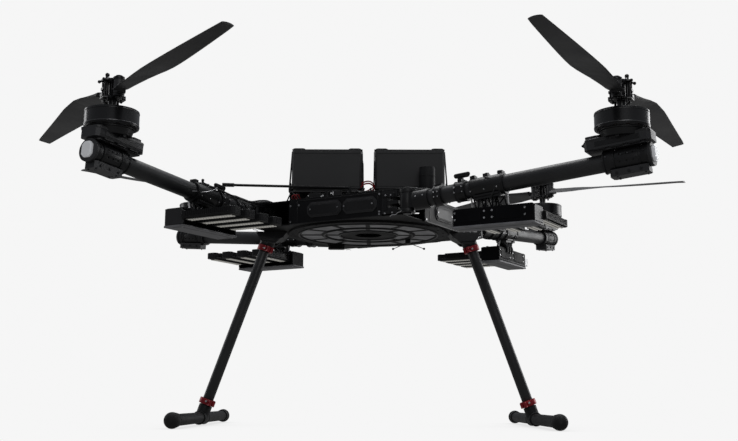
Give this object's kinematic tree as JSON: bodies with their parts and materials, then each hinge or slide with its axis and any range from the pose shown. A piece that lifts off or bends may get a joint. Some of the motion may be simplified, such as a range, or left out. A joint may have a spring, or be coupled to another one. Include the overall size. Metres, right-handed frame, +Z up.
{
  "type": "quadcopter drone",
  "caption": "Folding heavy-lift quadcopter: square body with pinwheel arms, folding propellers, under-arm light arrays and tall skid legs.",
  "frame": {"origin": "centre of the payload bolt circle, on the underside of the payload ring", "axes": "+Z up, -Y towards the front, +X to the right-hand side"},
  "size_m": [1.455, 1.7213, 0.6374],
  "materials": {
    "carbon_plate": "woven carbon plate, satin",
    "carbon_tube": "rolled carbon tube, satin",
    "black_alloy": "black anodised",
    "grey_alloy": "dark grey anodised",
    "steel_screws": "bright steel",
    "battery_case": "fine matt texture",
    "dark_plastic": "matt",
    "red_anodised": "red anodised",
    "rubber_cap": "matt rubber",
    "light_diffuser": "frosted translucent",
    "heatsink": "black anodised fins",
    "motor_black": "satin black anodised",
    "blade_composite": "satin carbon composite"
  },
  "bodies": {
    "frame": {"bottom_plate": "carbon_plate", "side_plates": "carbon_plate", "pocket_covers": "black_alloy", "top_deck": "carbon_plate", "battery_tray": "black_alloy", "hinge_brackets": "black_alloy", "fasteners": "steel_screws", "battery_left": "battery_case", "battery_right": "battery_case", "avionics": "dark_plastic", "antennas": "dark_plastic", "leg_brackets": "black_alloy", "leg_tubes": "carbon_tube", "leg_clamps": "red_anodised", "skid_tubes": "carbon_tube", "skid_caps": "rubber_cap"},
    "arm_fr": {"arm_tube_fr": "carbon_tube", "arm_fittings_fr": "black_alloy", "motor_base_fr": "grey_alloy", "tip_light_fr": "light_diffuser", "light_frame_fr": "black_alloy", "light_bars_fr": "heatsink"},
    "lever_fr": {"latch_fr": "dark_plastic"},
    "rotor_fr": {"motor_bell_fr": "motor_black", "rotor_hub_fr": "motor_black"},
    "blade_a_fr": {"blade_a_fr": "blade_composite"},
    "blade_b_fr": {"blade_b_fr": "blade_composite"},
    "arm_rr": {"arm_tube_rr": "carbon_tube", "arm_fittings_rr": "black_alloy", "motor_base_rr": "grey_alloy", "tip_light_rr": "light_diffuser", "light_frame_rr": "black_alloy", "light_bars_rr": "heatsink"},
    "lever_rr": {"latch_rr": "dark_plastic"},
    "rotor_rr": {"motor_bell_rr": "motor_black", "rotor_hub_rr": "motor_black"},
    "blade_a_rr": {"blade_a_rr": "blade_composite"},
    "blade_b_rr": {"blade_b_rr": "blade_composite"},
    "arm_rl": {"arm_tube_rl": "carbon_tube", "arm_fittings_rl": "black_alloy", "motor_base_rl": "grey_alloy", "tip_light_rl": "light_diffuser", "light_frame_rl": "black_alloy", "light_bars_rl": "heatsink"},
    "lever_rl": {"latch_rl": "dark_plastic"},
    "rotor_rl": {"motor_bell_rl": "motor_black", "rotor_hub_rl": "motor_black"},
    "blade_a_rl": {"blade_a_rl": "blade_composite"},
    "blade_b_rl": {"blade_b_rl": "blade_composite"},
    "arm_fl": {"arm_tube_fl": "carbon_tube", "arm_fittings_fl": "black_alloy", "motor_base_fl": "grey_alloy", "tip_light_fl": "light_diffuser", "light_frame_fl": "black_alloy", "light_bars_fl": "heatsink"},
    "lever_fl": {"latch_fl": "dark_plastic"},
    "rotor_fl": {"motor_bell_fl": "motor_black", "rotor_hub_fl": "motor_black"},
    "blade_a_fl": {"blade_a_fl": "blade_composite"},
    "blade_b_fl": {"blade_b_fl": "blade_composite"}
  },
  "joints": [
    {"name": "fold_fr", "type": "hinge", "parent": "frame", "child": "arm_fr", "pos_m": [0.07974, -0.24498, 0.0284], "axis": [0, 0, 1], "range_deg": [0, 40]},
    {"name": "fold_rr", "type": "hinge", "parent": "frame", "child": "arm_rr", "pos_m": [0.24498, 0.07974, 0.0284], "axis": [0, 0, 1], "range_deg": [0, 40]},
    {"name": "fold_rl", "type": "hinge", "parent": "frame", "child": "arm_rl", "pos_m": [-0.07974, 0.24498, 0.0284], "axis": [0, 0, 1], "range_deg": [0, 40]},
    {"name": "fold_fl", "type": "hinge", "parent": "frame", "child": "arm_fl", "pos_m": [-0.24498, -0.07974, 0.0284], "axis": [0, 0, 1], "range_deg": [0, 40]},
    {"name": "latch_fr", "type": "hinge", "parent": "arm_fr", "child": "lever_fr", "pos_m": [0.18305, -0.3034, 0.0603], "axis": [-0.4922, -0.8705, 0], "range_deg": [0, 40], "stiffness_Nm_per_rad": 0.05},
    {"name": "latch_rr", "type": "hinge", "parent": "arm_rr", "child": "lever_rr", "pos_m": [0.3034, 0.18305, 0.0603], "axis": [0.8705, -0.4922, 0], "range_deg": [0, 40], "stiffness_Nm_per_rad": 0.05},
    {"name": "latch_rl", "type": "hinge", "parent": "arm_rl", "child": "lever_rl", "pos_m": [-0.18305, 0.3034, 0.0603], "axis": [0.4922, 0.8705, 0], "range_deg": [0, 40], "stiffness_Nm_per_rad": 0.05},
    {"name": "latch_fl", "type": "hinge", "parent": "arm_fl", "child": "lever_fl", "pos_m": [-0.3034, -0.18305, 0.0603], "axis": [-0.8705, 0.4922, 0], "range_deg": [0, 40], "stiffness_Nm_per_rad": 0.05},
    {"name": "spin_fr", "type": "hinge", "parent": "arm_fr", "child": "rotor_fr", "pos_m": [0.46, -0.46, 0.155], "axis": [0, 0, 1], "continuous": true},
    {"name": "spin_rr", "type": "hinge", "parent": "arm_rr", "child": "rotor_rr", "pos_m": [0.46, 0.46, 0.155], "axis": [0, 0, 1], "continuous": true},
    {"name": "spin_rl", "type": "hinge", "parent": "arm_rl", "child": "rotor_rl", "pos_m": [-0.46, 0.46, 0.155], "axis": [0, 0, 1], "continuous": true},
    {"name": "spin_fl", "type": "hinge", "parent": "arm_fl", "child": "rotor_fl", "pos_m": [-0.46, -0.46, 0.155], "axis": [0, 0, 1], "continuous": true},
    {"name": "blade_fold_a_fr", "type": "hinge", "parent": "rotor_fr", "child": "blade_a_fr", "pos_m": [0.47284, -0.43625, 0.193], "axis": [0, 0, 1], "range_deg": [0, 80]},
    {"name": "blade_fold_b_fr", "type": "hinge", "parent": "rotor_fr", "child": "blade_b_fr", "pos_m": [0.44716, -0.48375, 0.193], "axis": [0, 0, -1], "range_deg": [0, 80]},
    {"name": "blade_fold_a_rr", "type": "hinge", "parent": "rotor_rr", "child": "blade_a_rr", "pos_m": [0.44308, 0.48104, 0.193], "axis": [0, 0, 1], "range_deg": [0, 80]},
    {"name": "blade_fold_b_rr", "type": "hinge", "parent": "rotor_rr", "child": "blade_b_rr", "pos_m": [0.47692, 0.43896, 0.193], "axis": [0, 0, -1], "range_deg": [0, 80]},
    {"name": "blade_fold_a_rl", "type": "hinge", "parent": "rotor_rl", "child": "blade_a_rl", "pos_m": [-0.47205, 0.43584, 0.193], "axis": [0, 0, 1], "range_deg": [0, 80]},
    {"name": "blade_fold_b_rl", "type": "hinge", "parent": "rotor_rl", "child": "blade_b_rl", "pos_m": [-0.44795, 0.48416, 0.193], "axis": [0, 0, -1], "range_deg": [0, 80]},
    {"name": "blade_fold_a_fl", "type": "hinge", "parent": "rotor_fl", "child": "blade_a_fl", "pos_m": [-0.44424, -0.48193, 0.193], "axis": [0, 0, 1], "range_deg": [0, 80]},
    {"name": "blade_fold_b_fl", "type": "hinge", "parent": "rotor_fl", "child": "blade_b_fl", "pos_m": [-0.47576, -0.43807, 0.193], "axis": [0, 0, -1], "range_deg": [0, 80]}
  ]
}
